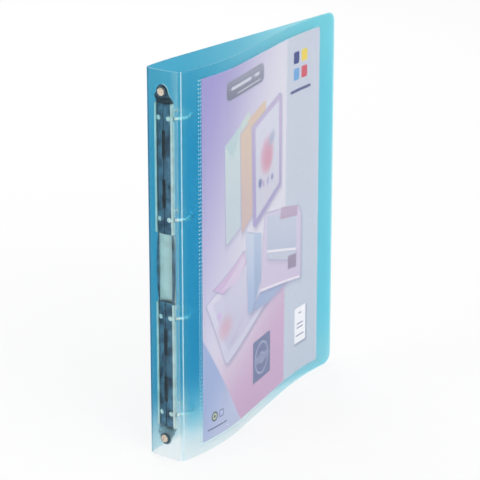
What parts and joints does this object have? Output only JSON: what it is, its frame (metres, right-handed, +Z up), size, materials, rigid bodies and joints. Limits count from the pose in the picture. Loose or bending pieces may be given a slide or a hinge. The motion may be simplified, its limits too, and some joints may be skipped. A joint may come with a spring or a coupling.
{
  "type": "ring binder",
  "caption": "Translucent blue ring binder for A4 sheets: creased plastic covers, a clear front pocket with a printed sheet, and a ring mechanism riveted to the spine. Stands on edge.",
  "frame": {"origin": "centre of the closed binder's outline, at its bottom edge", "axes": "+Z up the spine; +X from the spine to the fore edge; +Y from the front cover to the back cover"},
  "size_m": [0.2562, 0.0389, 0.315],
  "materials": {
    "cover_front": "translucent polypropylene, fine matt grain",
    "cover_back": "translucent polypropylene, fine matt grain",
    "cover_spine": "translucent polypropylene, fine matt grain",
    "pocket_film": "clear soft film, glossy",
    "printed_sheet": "coated printed sheet",
    "housing_steel": "nickel plated, satin",
    "blade_steel": "nickel plated, satin",
    "ring_wire": "bright nickel plate",
    "rivet_metal": "bright plated",
    "washer_metal": "darkened plate"
  },
  "bodies": {
    "spine": {"spine_panel": "cover_spine", "ring_housing": "housing_steel", "rivet_top": "rivet_metal", "rivet_bottom": "rivet_metal", "rivet_washer_top": "washer_metal", "rivet_washer_bottom": "washer_metal"},
    "front_cover": {"front_cover_panel": "cover_front", "front_pocket_film": "pocket_film"},
    "back_cover": {"back_cover_panel": "cover_back"},
    "pocket_sheet": {"insert_sheet": "printed_sheet"},
    "front_jaw": {"front_blade": "blade_steel", "front_ring_1": "ring_wire", "front_ring_2": "ring_wire", "front_ring_3": "ring_wire", "front_ring_4": "ring_wire"},
    "back_jaw": {"back_blade": "blade_steel", "back_ring_1": "ring_wire", "back_ring_2": "ring_wire", "back_ring_3": "ring_wire", "back_ring_4": "ring_wire"}
  },
  "joints": [
    {"name": "front_cover_fold", "type": "hinge", "parent": "spine", "child": "front_cover", "pos_m": [-0.12379, -0.01651, 0], "axis": [0, 0, -1], "range_deg": [0, 180]},
    {"name": "back_cover_fold", "type": "hinge", "parent": "spine", "child": "back_cover", "pos_m": [-0.12379, 0.01649, 0], "axis": [0, 0, 1], "range_deg": [0, 180]},
    {"name": "front_jaw_pivot", "type": "hinge", "parent": "spine", "child": "front_jaw", "pos_m": [-0.12359, -0.00721, 0], "axis": [0, 0, -1], "range_deg": [0, 14]},
    {"name": "back_jaw_pivot", "type": "hinge", "parent": "spine", "child": "back_jaw", "pos_m": [-0.12359, 0.00719, 0], "axis": [0, 0, 1], "range_deg": [0, 14]},
    {"name": "sheet_lift", "type": "slide", "parent": "front_cover", "child": "pocket_sheet", "axis": [0, 0, 1], "range_m": [0, 0.31]}
  ],
  "couplings": [
    {"joint": "back_jaw_pivot", "follows": "front_jaw_pivot", "ratio": 1}
  ]
}
